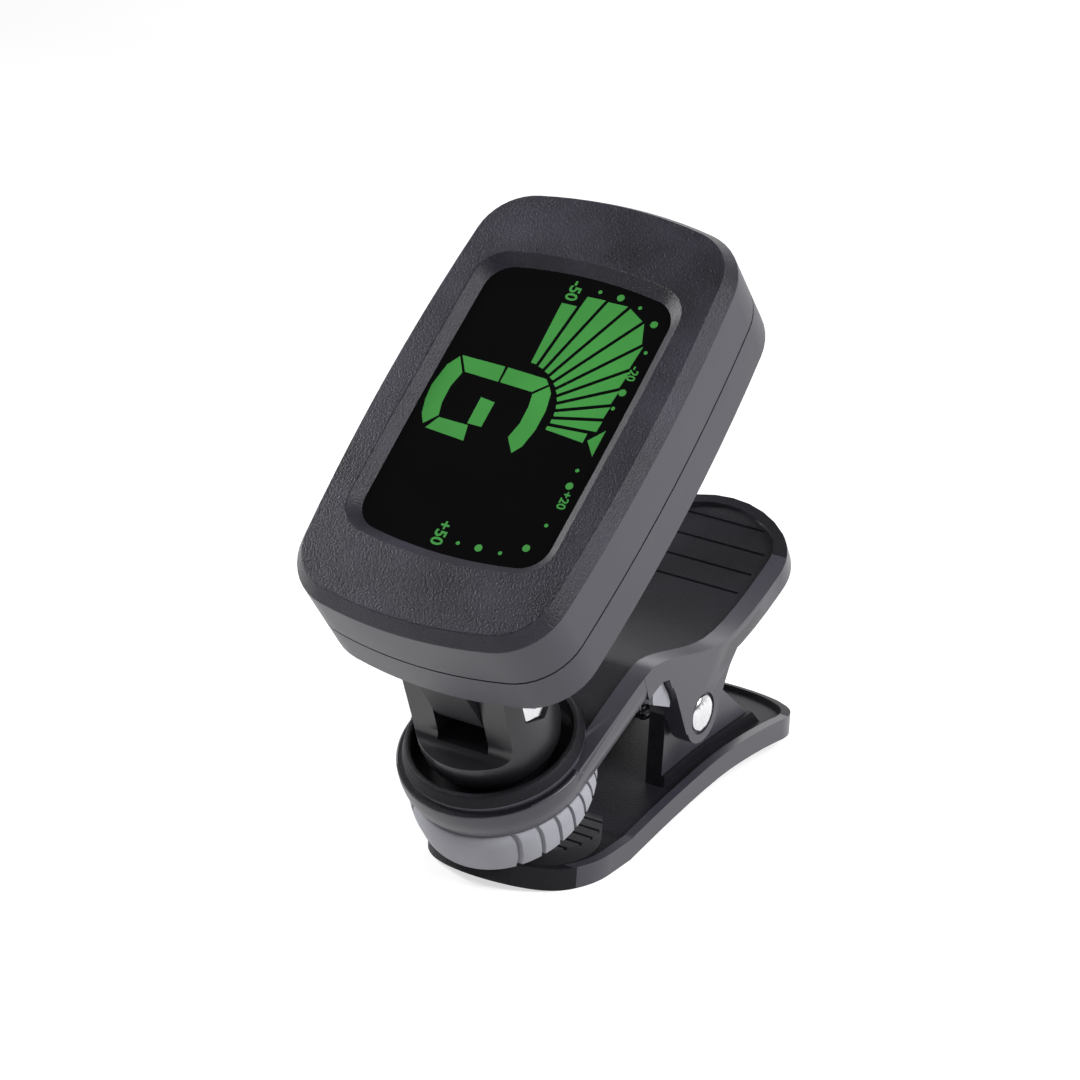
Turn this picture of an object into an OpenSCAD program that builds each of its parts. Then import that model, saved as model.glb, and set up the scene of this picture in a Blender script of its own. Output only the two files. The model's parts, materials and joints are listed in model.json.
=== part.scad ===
// Clip-on tuner: a tilting display head on a swivelling turret, carried by a sprung clip.
// Millimetres. X is the width, -Y the jaw tips, +Y the thumb ends, +Z up, the clip stands on Z = 0.

/* [Head] */
// Length of the head along the display
head_l = 54; // [52:1:66]
// Width of the head at its middle
head_w = 33; // [32:1:42]
// Full thickness of the head
head_t = 12.6; // [12.4:0.1:15]
// Depth of the front shell, from its face to the parting line
front_t = 7.6; // [7.4:0.1:8.4]
// Radius of the bowed long sides
side_bow = 238; // [150:1:400]
// Radius of the bowed ends
end_bow = 52; // [40:1:90]
// Radius of the head's corners
corner_r = 7; // [6:0.5:9]
// Width of the sloped edge around the face
edge_in = 1.05; // [0.5:0.05:1.4]
// Height of the sloped edge around the face
edge_h = 1.65; // [0.8:0.05:2]
// Side wall of both shells
shell_wall = 1.4; // [1.2:0.1:1.8]
// Thickness of the rear shell's back
back_wall = 1.4; // [1.2:0.1:1.8]

/* [Window and display] */
// Length of the window opening at the face
window_l = 37.2; // [30:0.2:38]
// Width of the window opening at the face
window_w = 25; // [20:0.2:25.4]
// Corner radius of the window opening
window_r = 3.9; // [2.5:0.1:5]
// How far the reveal slopes inwards
reveal_in = 1.3; // [0.6:0.1:1.6]
// Depth of the lens below the face
reveal_h = 1.1; // [0.8:0.1:1.4]
// Thickness of the lens
lens_t = 1.1; // [0.8:0.1:1.4]
// Thickness of the display glass
lcd_t = 1.7; // [1.2:0.1:2]
// Thickness of the circuit board
board_t = 1; // [0.8:0.1:1.2]

/* [Battery and controls] */
// Diameter of the coin cell
cell_d = 20; // [16:1:20]
// Thickness of the coin cell
cell_t = 3.1; // [2:0.1:3.2]
// Diameter of the battery cover
cover_d = 23; // [21:0.5:24]
// Diameter of the power button's cap
button_d = 6; // [5:0.5:6.5]
// Diameter of the piezo pickup
piezo_d = 9; // [7:0.5:10]

/* [Joints at rest] */
// Tilt of the collar from level
collar_tilt = 24; // [15:1:30]
// Tilt of the head on the turret
head_tilt = 15.5; // [5:0.5:30]

/* [Turret] */
// Radius of the turret
turret_r = 7.6; // [7.4:0.1:8]
// Width of the slot that takes the head's knuckle
slot_w = 6.2; // [5:0.1:6.4]
// Height of the tilt axle above the collar's rim
axle_h = 8; // [7.8:0.1:9]
// Radius of the rounded ears
ear_r = 5.9; // [5.2:0.1:6.2]
// Radius of the head's knuckle
knuckle_r = 4.7; // [3.8:0.1:4.9]
// Distance from the tilt axle to the head's back
axle_drop = 6.6; // [6.4:0.1:7.4]
// Distance from the tilt axle to the head's lower end
axle_to_end = 5.5; // [5.3:0.1:6]
// Radius of the tilt screw's shank
tilt_screw_r = 1.25; // [1:0.05:1.4]

/* [Collar] */
// Wall of the collar around its mouth; the jaws are as wide as the collar
collar_wall = 1.95; // [1.8:0.05:3.5]
// Gap all round between the turret and the collar's mouth
collar_gap = 0.95; // [0.5:0.05:1]
// Depth from the collar's rim to its lower edge
collar_h = 5.6; // [5.6:0.1:7]

/* [Jaws] */
// Height of the hinge pin above the ground
pin_h = 12.2; // [11.6:0.1:14]
// Radius of the hinge pin
pin_r = 1.25; // [1:0.05:1.4]
// Distance from the hinge pin forward to the collar's centre
collar_reach = 27; // [26:0.5:36]
// Height of the collar's rim above the hinge pin
collar_rise = 4.6; // [4:0.1:7]
// Distance from the hinge pin back to the upper thumb edge
upper_thumb = 23.3; // [20:0.1:30]
// Distance from the hinge pin back to the lower thumb edge
lower_thumb = 28; // [25:0.5:36]
// Thickness of the upper jaw's plate
upper_t = 2.4; // [2:0.1:3]
// Thickness of the lower jaw's plate
lower_t = 2.5; // [2:0.1:2.8]
// Width of the raised rim across the thumb ends and round the lower jaw
rim_w = 1.1; // [0.8:0.1:2]
// Width of the rolled rim along the upper jaw's sides
upper_rim_w = 2.2; // [1.4:0.1:3]
// Depth of the recess inside the rim
rim_h = 0.7; // [0.3:0.1:0.9]
// Thickness of the upper jaw's side ears
upper_ear_t = 2.2; // [1.6:0.1:2.6]
// Thickness of the lower jaw's inner ears
lower_ear_t = 2; // [1.5:0.1:2.4]
// Number of grip grooves across the thumb plate
grooves = 4; // [2:1:5]
// Spacing of the grip grooves
groove_pitch = 3.1; // [2:0.1:4]

/* [Spring and pads] */
// Thickness of the spring wire
wire_d = 0.9; // [0.6:0.1:1.1]
// Mean radius of the spring's coil
coil_r = 2.2; // [2:0.1:2.4]
// Depth of the upper rubber pad below the collar, at the collar's axis
pad_h = 2.9; // [2.6:0.1:3.6]
// How far the upper rubber pad stays inside the jaws' half width
pad_inset = 0.4; // [0:0.1:0.8]
// Extra tilt of the upper pad's gripping face, over the collar's own
pad_tilt = 14; // [4:1:15]
// Spacing of the ribs across the rubber pads
rib_pitch = 1.9; // [1.5:0.1:3]
// Thickness of the lower rubber pad
lower_pad_t = 1.9; // [1.2:0.1:2]

/* [Hidden] */
$fn = 48;
eps = 0.01;
far = 60;                                    // longer than any piece, for cutting
fit = 0.1;                                   // clearance all round an inserted piece
running = 0.05;                              // radial clearance on a turning shaft

// Depths below the face of the head, measured along the display's normal
lens_back = reveal_h + lens_t;
gasket_t = 0.5;
lcd_front = lens_back + gasket_t;
lcd_back = lcd_front + lcd_t;
guide_t = 1.5;
board_front = lcd_back + guide_t;
board_back = board_front + board_t;
back_inside = head_t - back_wall;
glass_w = window_w - 2 * reveal_in;
glass_l = window_l - 2 * reveal_in;
lens_margin = 1.2;
lcd_w = glass_w + 4.2;
lcd_l = glass_l + 2.8;
zebra_w = 1.4;

// Screws that close the housing
screw_r = 0.9;
screw_head_r = 1.7;
boss_r = 2.2;
screw_x = head_w / 2 - 4.5;
screw_y = head_l / 2 - 5.7;
corners = [for (sx = [-1, 1], sy = [-1, 1]) [sx * screw_x, sy * screw_y]];

// Battery, button and piezo
cell_front = board_back + 0.4;
cover_t = head_t - cell_front - cell_t - 0.25;
holder_wall = 0.9;
parting_gap = 0.2;                           // shadow line between the two shells
lug_turn = 40;                               // turn that frees the battery cover
lug_reach = 1;
lug_t = 0.8;
button_y = head_l / 2 - 6.6;
button_proud = 0.5;
button_flange = 0.8;
switch_h = 1.7;
piezo_y = -head_l / 2 + 9;

// Turret and collar, along the collar's axis from its rim
bore_r = turret_r + collar_gap;
collar_r = bore_r + collar_wall;             // also half the width of both jaws
floor_top = -2.6;
floor_t = 1.6;
ring_t = 0.4;
stem_r = 3.05;
stem_end = floor_top - floor_t - 0.08;
washer_r = 4.6;
washer_t = 0.5;
swivel_screw_r = 1.3;
pocket_floor = 2.2;                          // top of the turret's front ledge
ear_front = 4.5;                             // ears' front face, ahead of the swivel axis
nut_flats = 5;
nut_t = 2;
nut_face = turret_r - 0.4;
screw_seat = turret_r - 2;

// Upper jaw, in the plane of the hinge pin: Y back from it, Z up from it
saddle_y = -11.3;
saddle_z = 9.65;
dip_y = 3;
dip_z = 7.3;
thumb_tilt = 31;
thumb_z = 15.4;
dish_in = 0.75;                              // rim's width beside the collar
rim_top = -1.8;                              // the arm's rim beside the collar, from its mouth
skirt_t = 0.8;                               // side walls that reach down below the arm
skirt_drop = 1.4;
ear_eye_r = 3.4;

// Lower jaw, in the same plane
nose_y = -18.6;
arch_y = 7.5;
arch_z = -pin_h + 2.7;
lower_ear_x = collar_r - upper_ear_t - 0.7;
ledge_w = 0.4;
tip_rise = 0.9;
ear_base = arch_z + lower_t - rim_h - 1.3;   // inside the plate, under the ears
foot_flat = 4.5;                             // half the length of the flat under the nose
thumb_bow = collar_r + 1.5;
thumb_corner_r = collar_r - 3;
rib_first = -7.6;
rib_gap = 0.4;
tongue_w = 6;
tip_y = nose_y - collar_r;

// Riveted heads of the hinge pin, seated in shallow counterbores
pin_head_r = 2.1;
pin_head_h = 0.75;
pin_seat = collar_r - 0.25;

// Centre of the whole object along Y, counted from the pin
function tilt_y(y, z, a) = y * cos(a) - z * sin(a);
function tilt_z(y, z, a) = y * sin(a) + z * cos(a);
axle_v = -head_l / 2 + axle_to_end;
axle_n = -head_t - axle_drop;
full_tilt = collar_tilt + head_tilt;
axle_back = -collar_reach + tilt_y(0, axle_h, collar_tilt);
face_y = axle_back - tilt_y(axle_v, axle_n, full_tilt);
front_y = face_y + tilt_y(-head_l / 2 + edge_in, 0, full_tilt);
middle_y = (front_y + lower_thumb) / 2;

// ---------- curves ----------
function bezier(p, t) =
    pow(1 - t, 3) * p[0] + 3 * t * pow(1 - t, 2) * p[1]
    + 3 * t * t * (1 - t) * p[2] + pow(t, 3) * p[3];
function slope(p, t) =
    3 * pow(1 - t, 2) * (p[1] - p[0]) + 6 * t * (1 - t) * (p[2] - p[1])
    + 3 * t * t * (p[3] - p[2]);
function left_of(v) = [-v[1], v[0]] / norm(v);
// Points along a chain of curves, moved sideways by d
function along(chain, d = 0, steps = 8) = [
    for (k = [0:len(chain) - 1], i = [k == 0 ? 0 : 1:steps])
        bezier(chain[k], i / steps) + d * left_of(slope(chain[k], i / steps))
];
function backwards(list) = [for (i = [len(list) - 1:-1:0]) list[i]];

// A point beside the swivel axis, given along and above the collar's mouth, in the jaws' plane
function by_collar(y, z) = [
    -collar_reach + tilt_y(y, z, collar_tilt), collar_rise + tilt_z(y, z, collar_tilt)
];
// Top of the upper jaw, from the collar over the saddle to the thumb edge
upper_line = [
    [by_collar(0, rim_top), by_collar(7, rim_top), [saddle_y - 2, saddle_z], [saddle_y, saddle_z]],
    [
        [saddle_y, saddle_z], [saddle_y + 4, saddle_z],
        [dip_y - 4.5, dip_z], [dip_y, dip_z]
    ],
    [
        [dip_y, dip_z], [dip_y + 5, dip_z],
        [upper_thumb - 8 * cos(thumb_tilt), thumb_z - 8 * sin(thumb_tilt)],
        [upper_thumb, thumb_z]
    ]
];

// Lower edge of the arm's side walls, from the collar's band to the ears
skirt_line = [
    [
        by_collar(0, -collar_h), by_collar(4, -collar_h - 0.1),
        [saddle_y - 5, saddle_z - upper_t - skirt_drop - 2],
        [saddle_y - 1.3, saddle_z - upper_t - skirt_drop - 0.1]
    ],
    [
        [saddle_y - 1.3, saddle_z - upper_t - skirt_drop - 0.1],
        [saddle_y - 0.3, saddle_z - upper_t - skirt_drop + 0.5],
        [saddle_y + 1, saddle_z - upper_t - 0.2], [saddle_y + 3, saddle_z - upper_t]
    ]
];

// Underside of the lower jaw, from the nose over the arch to the thumb edge
lower_line = [
    [
        [tip_y, -pin_h + tip_rise], [tip_y + 3, -pin_h],
        [nose_y - foot_flat - 2, -pin_h], [nose_y - foot_flat, -pin_h]
    ],
    [for (t = [-3:2:3]) [nose_y + t * foot_flat / 3, -pin_h]],
    [
        [nose_y + foot_flat, -pin_h], [nose_y + 6, -pin_h + 0.3],
        [arch_y - 6.5, arch_z], [arch_y, arch_z]
    ],
    [
        [arch_y, arch_z], [arch_y + 6.5, arch_z],
        [lower_thumb - 6, -pin_h + 2], [lower_thumb, -pin_h]
    ]
];

// Outline of a rectangle with bowed sides and ends, and round corners
function corner_centre(a, b, rs, re, r) =
    let (x1 = a - rs, y2 = b - re, p = rs - r, q = re - r,
         dx = -x1, dy = y2, d = norm([dx, dy]),
         along_line = (p * p - q * q + d * d) / (2 * d),
         h = sqrt(p * p - along_line * along_line))
    [x1 + along_line * dx / d - h * dy / d, along_line * dy / d + h * dx / d];
function bowed(l, w, rs, re, r) =
    let (a = w / 2, b = l / 2, c = corner_centre(a, b, rs, re, r),
         s_end = atan2(c[1], c[0] - a + rs), e_end = atan2(c[1] - b + re, c[0]),
         side = [for (i = [0:5]) let (t = s_end * i / 5) [a - rs + rs * cos(t), rs * sin(t)]],
         round = [
             for (i = [1:9]) let (t = s_end + (e_end - s_end) * i / 9) c + r * [cos(t), sin(t)]
         ],
         end = [
             for (i = [1:5])
                 let (t = e_end + (90 - e_end) * i / 5) [re * cos(t), b - re + re * sin(t)]
         ],
         quarter = concat(side, round, end), n = len(quarter))
    concat(
        quarter,
        [for (i = [n - 2:-1:0]) [-quarter[i][0], quarter[i][1]]],
        [for (i = [1:n - 1]) [-quarter[i][0], -quarter[i][1]]],
        [for (i = [n - 2:-1:1]) [quarter[i][0], -quarter[i][1]]]
    );
module head_outline(inset = 0) {
    polygon(bowed(
        head_l - 2 * inset, head_w - 2 * inset, side_bow - inset, end_bow - inset,
        corner_r - inset
    ));
}
module window_outline(inset = 0) {
    polygon(bowed(
        window_l - 2 * inset, window_w - 2 * inset, side_bow * 3, end_bow - inset,
        window_r - inset * 0.6
    ));
}

// ---------- placing ----------
// At the hinge pin
module at_pin() {
    translate([0, -middle_y, pin_h]) children();
}
// At the centre of the collar's rim, Z along the swivel axis
module at_collar() {
    at_pin() translate([0, -collar_reach, collar_rise]) rotate([collar_tilt, 0, 0]) children();
}
// At the tilt axle, Z out of the display
module at_axle() {
    at_collar() translate([0, 0, axle_h]) rotate([head_tilt, 0, 0]) children();
}
// At the middle of the head's face, Z out of the display
module at_head() {
    at_axle() translate([0, -axle_v, -axle_n]) children();
}
// A cylinder along X from x1 to x2
module rod(r, x1, x2) {
    translate([x1, 0, 0]) rotate([0, 90, 0]) cylinder(r = r, h = x2 - x1);
}
// A side profile of [Y, Z] points, made w wide about the middle
module wide(w) {
    translate([-w / 2, 0, 0]) rotate([90, 0, 90]) linear_extrude(w) children();
}
// A slab between two depths below the face of the head
module slab(from, to) {
    translate([0, 0, -to]) linear_extrude(to - from) children();
}

// ---------- head ----------
module front_shell() {
    color("#4b4a52") at_head() difference() {
        union() {
            difference() {
                union() {
                    hull() {
                        slab(edge_h - eps, edge_h) head_outline();
                        slab(0, eps) head_outline(edge_in);
                    }
                    slab(edge_h - eps, front_t) head_outline();
                }
                slab(lens_back, front_t + 1) head_outline(shell_wall);
            }
            for (c = corners)
                translate([c[0], c[1], -front_t]) cylinder(r = boss_r, h = front_t - lens_back + 0.2);
        }
        hull() {
            slab(-eps, 0) window_outline();
            slab(reveal_h, reveal_h + eps) window_outline(reveal_in);
        }
        slab(reveal_h, lens_back + eps) window_outline(reveal_in - lens_margin - fit);
        for (c = corners)
            translate([c[0], c[1], -front_t - eps]) cylinder(r = screw_r, h = 4);
    }
}
module lens_window() {
    color("#121214") at_head() slab(reveal_h, lens_back)
        window_outline(reveal_in - lens_margin);
}
module display_gasket() {
    color("#202022") at_head() slab(lens_back, lcd_front) difference() {
        square([lcd_w, lcd_l], center = true);
        square([glass_w, glass_l], center = true);
    }
}
module lcd_panel() {
    color("#17191a") at_head() slab(lcd_front, lcd_back)
        square([lcd_w, lcd_l], center = true);
}
module light_guide() {
    color("#e8f2ea") at_head() slab(lcd_back, board_front)
        translate([-lcd_w / 2, -lcd_l / 2]) square([lcd_w - zebra_w - 0.4, lcd_l]);
}
module zebra_strip() {
    color("#d88aa0") at_head() slab(lcd_back, board_front)
        translate([lcd_w / 2 - zebra_w, -lcd_l / 2 + 1]) square([zebra_w, lcd_l - 2]);
}
module circuit_board() {
    color("#1f6b3a") at_head() difference() {
        slab(board_front, board_back) head_outline(shell_wall + 0.4);
        for (c = corners)
            translate([c[0], c[1], -head_t]) cylinder(r = boss_r + 0.2, h = head_t);
    }
}
module driver_chip() {
    color("#1a1a1c") at_head() translate([-9.4, button_y - 4, -board_back - 0.9])
        cube([6, 6, 0.9]);
}
module quartz_crystal() {
    color("#c9ccd0") at_head() translate([5.6, button_y - 2.5, -board_back - 1])
        cube([2, 5, 1]);
}
module tact_switch() {
    color("#2a2a2e") at_head() translate([0, button_y, -board_back - switch_h]) difference() {
        translate([-2.25, -2.25, 0]) cube([4.5, 4.5, switch_h]);
        translate([0, 0, -eps]) cylinder(r = 1.1, h = switch_h - 0.4);
    }
}
module switch_plunger() {
    plunger_top = back_inside - 1.1;
    color("#d9d9d6") at_head() translate([0, button_y, -plunger_top])
        cylinder(r = 1, h = plunger_top - board_back - 0.95);
}
module power_button() {
    color("#35353a") at_head() translate([0, button_y, 0]) {
        slab(back_inside - 0.3, head_t + button_proud) circle(d = button_d);
        slab(back_inside - button_flange - 0.3, back_inside - 0.3 + eps)
            circle(d = button_d + 1.6);
    }
}
module contact_negative() {
    color("#c8c9cc") at_head() slab(board_back, board_back + 0.35)
        square([7, 9], center = true);
}
module contact_positive() {
    spring_x = cell_d / 2 + 0.25;
    color("#d4c58c") at_head() {
        translate([spring_x, -2.5, -cell_front - cell_t + 0.4]) cube([0.3, 5, cell_t]);
        translate([spring_x, -2.5, -board_back - 0.3]) cube([2.6, 5, 0.3]);
    }
}
module cell_holder() {
    holder_r = cell_d / 2 + 0.2;
    color("#2b2b2f") at_head() slab(board_back, cell_front + cell_t - 0.2) difference() {
        circle(r = holder_r + holder_wall);
        circle(r = holder_r);
        translate([holder_r - 3, -3.2]) square([6, 6.4]);
    }
}
module coin_cell() {
    rim = 0.5;
    color("#c4c6c9") at_head() {
        slab(cell_front + rim, cell_front + cell_t) circle(d = cell_d);
        slab(cell_front, cell_front + rim + eps) circle(d = cell_d - 2.6);
    }
}
module piezo_disc() {
    color("#c9a24a") at_head() translate([0, piezo_y, -back_inside]) {
        cylinder(d = piezo_d, h = 0.3);
        cylinder(d = piezo_d - 2.4, h = 0.5);
    }
}
module rear_shell() {
    half_slot = slot_w / 2 - 0.15;
    color("#63616a") at_head() difference() {
        union() {
            difference() {
                slab(front_t + parting_gap, head_t) head_outline();
                slab(front_t - 1, back_inside) head_outline(shell_wall);
            }
            // Tongue that reaches into the front shell
            slab(front_t - 0.6, front_t + 1.2) difference() {
                head_outline(shell_wall + fit);
                head_outline(shell_wall + fit + 0.55);
                for (c = corners) translate(c) circle(r = boss_r + fit);
            }
            slab(front_t + 0.6, front_t + 1.2) difference() {
                head_outline(shell_wall - 0.2);
                head_outline(shell_wall + fit + 0.55);
            }
            for (c = corners)
                translate([c[0], c[1], -back_inside - eps])
                    cylinder(r = boss_r, h = back_inside - front_t - 0.05);
            translate([0, axle_v, axle_n]) {
                rod(knuckle_r, -half_slot, half_slot);
                translate([-half_slot, -knuckle_r, 0])
                    cube([2 * half_slot, 2 * knuckle_r, axle_drop + eps]);
            }
        }
        for (c = corners) translate([c[0], c[1], -head_t - eps]) {
            cylinder(r = screw_r + fit, h = head_t);
            cylinder(r = screw_head_r + 0.15, h = 1.35);
        }
        slab(front_t, head_t + eps) circle(d = cover_d + 2 * fit);
        slab(back_inside - eps, head_t + eps) rotate(lug_turn) cover_lugs(0.25);
        translate([0, button_y, 0]) slab(front_t, head_t + eps) circle(d = button_d + 0.3);
        translate([0, axle_v, axle_n]) rod(tilt_screw_r + running, -slot_w, slot_w);
    }
}
// Two lugs that hold the battery cover under the rear shell
module cover_lugs(extra = 0) {
    intersection() {
        circle(d = cover_d + 2 * lug_reach + 2 * extra);
        square([cover_d + 8, 4 + 2 * extra], center = true);
    }
}
module battery_cover() {
    color("#57565f") at_head() difference() {
        union() {
            slab(head_t - cover_t, head_t) circle(d = cover_d);
            slab(back_inside - lug_t - 0.1, back_inside - 0.1) cover_lugs();
        }
        slab(back_inside - lug_t - 1, head_t - cover_t) circle(d = cell_d + 0.3);
        slab(head_t - 0.8, head_t + eps) square([13, 1.6], center = true);
    }
}
module housing_screws() {
    color("#55565a") at_head() for (c = corners) translate([c[0], c[1], -head_t]) difference() {
        union() {
            translate([0, 0, 0.15]) cylinder(r = screw_head_r, h = 1.2 - eps);
            cylinder(r = screw_r, h = head_t - front_t + 3);
        }
        translate([0, 0, 0.3]) cube([3, 0.5, 1], center = true);
        cube([0.5, 3, 1.6], center = true);
        translate([0, 0, -0.35]) cylinder(r = 2, h = 0.5);
    }
}

// ---------- turret ----------
module turret() {
    slot_r = knuckle_r + 0.4;
    top = axle_h + ear_r;
    blend_r = ear_r - 0.15;
    color("#2e2e33") at_collar() difference() {
        intersection() {
            rotate_extrude() polygon([
                [0, stem_end], [stem_r, stem_end], [stem_r, floor_top + ring_t],
                [turret_r - 1.9, floor_top + ring_t], [turret_r - 0.9, -1.6],
                [turret_r - 0.25, -0.4], [turret_r, 1], [turret_r, top + 1], [0, top + 1]
            ]);
            wide(4 * turret_r) union() {
                translate([0, axle_h]) circle(r = ear_r);
                polygon([
                    [-turret_r - 1, -far], [turret_r + 1, -far], [turret_r + 1, 2.5],
                    [blend_r * cos(25), axle_h + blend_r * sin(25)],
                    [-blend_r * cos(5), axle_h + blend_r * sin(5)], [-turret_r - 1, 2.5]
                ]);
            }
        }
        // Front pocket, with a cove where its floor meets the ears
        wide(4 * turret_r) polygon(concat(
            [[-2 * turret_r, top + 1], [-2 * turret_r, pocket_floor]],
            [for (a = [270:15:360]) [-ear_front - 1.5 + 1.5 * cos(a), pocket_floor + 1.5 + 1.5 * sin(a)]],
            [[-ear_front + 0.3, top + 1]]
        ));
        // Slot for the knuckle
        translate([0, 0, axle_h]) {
            rod(slot_r, -slot_w / 2, slot_w / 2);
            translate([-slot_w / 2, -2 * turret_r, 0]) cube([slot_w, 4 * turret_r, far]);
            translate([-slot_w / 2, -2 * turret_r, -axle_h + pocket_floor + 0.4])
                cube([slot_w, 2 * turret_r, far]);
            rod(tilt_screw_r + running, -2 * turret_r, 2 * turret_r);
            translate([nut_face - nut_t, 0, 0]) rotate([0, 90, 0])
                cylinder(r = nut_flats / sqrt(3) + 0.12, h = far, $fn = 6);
            rod(2.45, -far, -screw_seat);
        }
        translate([0, 0, stem_end - eps]) cylinder(r = swivel_screw_r, h = 6);
    }
}
module tilt_screw() {
    color("#d9dadd") at_collar() translate([0, 0, axle_h]) difference() {
        union() {
            rod(tilt_screw_r, -screw_seat - eps, nut_face);
            rod(2.3, -screw_seat - 1.5, -screw_seat);
        }
        for (a = [0, 90]) translate([-screw_seat - 1.5, 0, 0]) rotate([a, 0, 0])
            cube([1.4, 3.2, 0.6], center = true);
    }
}
module tilt_nut() {
    color("#e4e5e8") at_collar() translate([nut_face - nut_t, 0, axle_h])
        rotate([0, 90, 0]) difference() {
            cylinder(r = nut_flats / sqrt(3), h = nut_t, $fn = 6);
            translate([0, 0, -eps]) cylinder(r = tilt_screw_r, h = nut_t + 1);
        }
}
module swivel_screw() {
    head_h = 1.2;
    color("#c9cacd") at_collar() translate([0, 0, stem_end - washer_t - head_h]) difference() {
        union() {
            cylinder(r = 2.5, h = head_h);
            cylinder(r = swivel_screw_r, h = head_h + washer_t + 5.5);
        }
        for (a = [0, 90]) rotate(a) cube([3.4, 0.6, 1.2], center = true);
    }
}
module swivel_washer() {
    color("#bfc1c5") at_collar() translate([0, 0, stem_end - washer_t]) difference() {
        cylinder(r = washer_r, h = washer_t);
        translate([0, 0, -eps]) cylinder(r = swivel_screw_r, h = washer_t + 1);
    }
}
module friction_ring() {
    color("#141416") at_collar() translate([0, 0, floor_top]) difference() {
        cylinder(r = turret_r - 2, h = ring_t - 0.03);
        translate([0, 0, -eps]) cylinder(r = stem_r + 0.25, h = ring_t + 1);
    }
}

// ---------- upper jaw ----------
// Outer band of the collar as [radius, height], tapering a little downwards
function collar_band(shrink = 0) = [
    [collar_r - shrink, -3.1], [collar_r - 0.12 - shrink, -4],
    [collar_r - 0.75 - shrink, -collar_h]
];
module collar_ring() {
    bead_r = 0.42;
    shoulder_r = 0.25;
    rotate_extrude() polygon(concat(
        [[0, -collar_h + 1.4], [0, floor_top], [bore_r, floor_top]],
        [
            for (a = [180:-20:0])
                [bore_r + bead_r + bead_r * cos(a), -bead_r + bead_r * sin(a)]
        ],
        [[collar_r - dish_in, -1.3], [collar_r - dish_in, rim_top - rim_h]],
        [[collar_r, rim_top - rim_h]], collar_band(),
        [[collar_r - 1.5, -collar_h], [collar_r - 1.5, -collar_h + 1.4]]
    ));
    // Round shoulder at the front, where the arm's rim runs round the mouth
    intersection() {
        rotate_extrude() polygon(concat(
            [[collar_r - 1.2, rim_top - rim_h - eps], [collar_r - dish_in, rim_top]],
            [
                for (a = [90:-15:0])
                    [collar_r - shoulder_r * (1 - cos(a)), rim_top - shoulder_r * (1 - sin(a))]
            ],
            [[collar_r, rim_top - rim_h - eps]]
        ));
        translate([-far, -2 * far, -far]) cube(2 * far);
    }
}
// Room for the arm: the collar's own band, and behind its middle the same band drawn back
module arm_room() {
    clear_of_band = 14;                      // from here back the arm lies above the band
    band = collar_band(0.02);
    translate([0, -collar_reach, collar_rise]) rotate([collar_tilt, 0, 0]) {
        rotate_extrude() polygon(concat([[0, -2.6]], band, [[0, -collar_h]]));
        translate([0, clear_of_band, 0]) rotate([90, 0, 0]) linear_extrude(clear_of_band)
            polygon(concat(
                [[collar_r, far]], band, [[band[2][0], -far], [-band[2][0], -far]],
                [for (b = backwards(band)) [-b[0], b[1]]], [[-collar_r, far]]
            ));
        translate([-far, clear_of_band - eps, -far]) cube(2 * far);
    }
}
// Plan of a plate's thumb end at y = end: straight sides, round corners, bowed edge
module plan_end(end, side_in = 0, end_in = 0) {
    r = thumb_corner_r - side_in;
    bow = thumb_bow - end_in;
    side = collar_r - side_in - r;
    reach = sqrt(pow(bow - r, 2) - side * side);
    turn = atan2(reach, side);
    corner = [
        for (i = [0:8]) let (a = turn * i / 8) [side + r * cos(a), reach + r * sin(a)]
    ];
    edge = [
        for (i = [1:7]) let (a = turn + (180 - 2 * turn) * i / 8) [bow * cos(a), bow * sin(a)]
    ];
    translate([0, end - end_in - bow]) polygon(concat(
        [[-side - r, -far], [side + r, -far]], corner, edge,
        [for (c = backwards(corner)) [-c[0], c[1]]]
    ));
}
module thumb_end(side_in = 0, end_in = 0) {
    translate([0, 0, thumb_z - upper_thumb * tan(thumb_tilt)]) rotate([thumb_tilt, 0, 0])
        translate([0, 0, -far / 2]) linear_extrude(far)
            plan_end(upper_thumb / cos(thumb_tilt), side_in, end_in);
}
module upper_plate() {
    intersection() {
        union() {
            wide(2 * collar_r)
                polygon(concat(along(upper_line), backwards(along(upper_line, -upper_t))));
            for (s = [-1, 1]) translate([s * (collar_r - skirt_t / 2), 0, 0]) wide(skirt_t)
                polygon(concat(
                    along([upper_line[0]], -1), along([upper_line[1]], -1, 4), [[-7.4, 5.6]],
                    backwards(along(skirt_line))
                ));
        }
        thumb_end();
        arm_room();
    }
}
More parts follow.
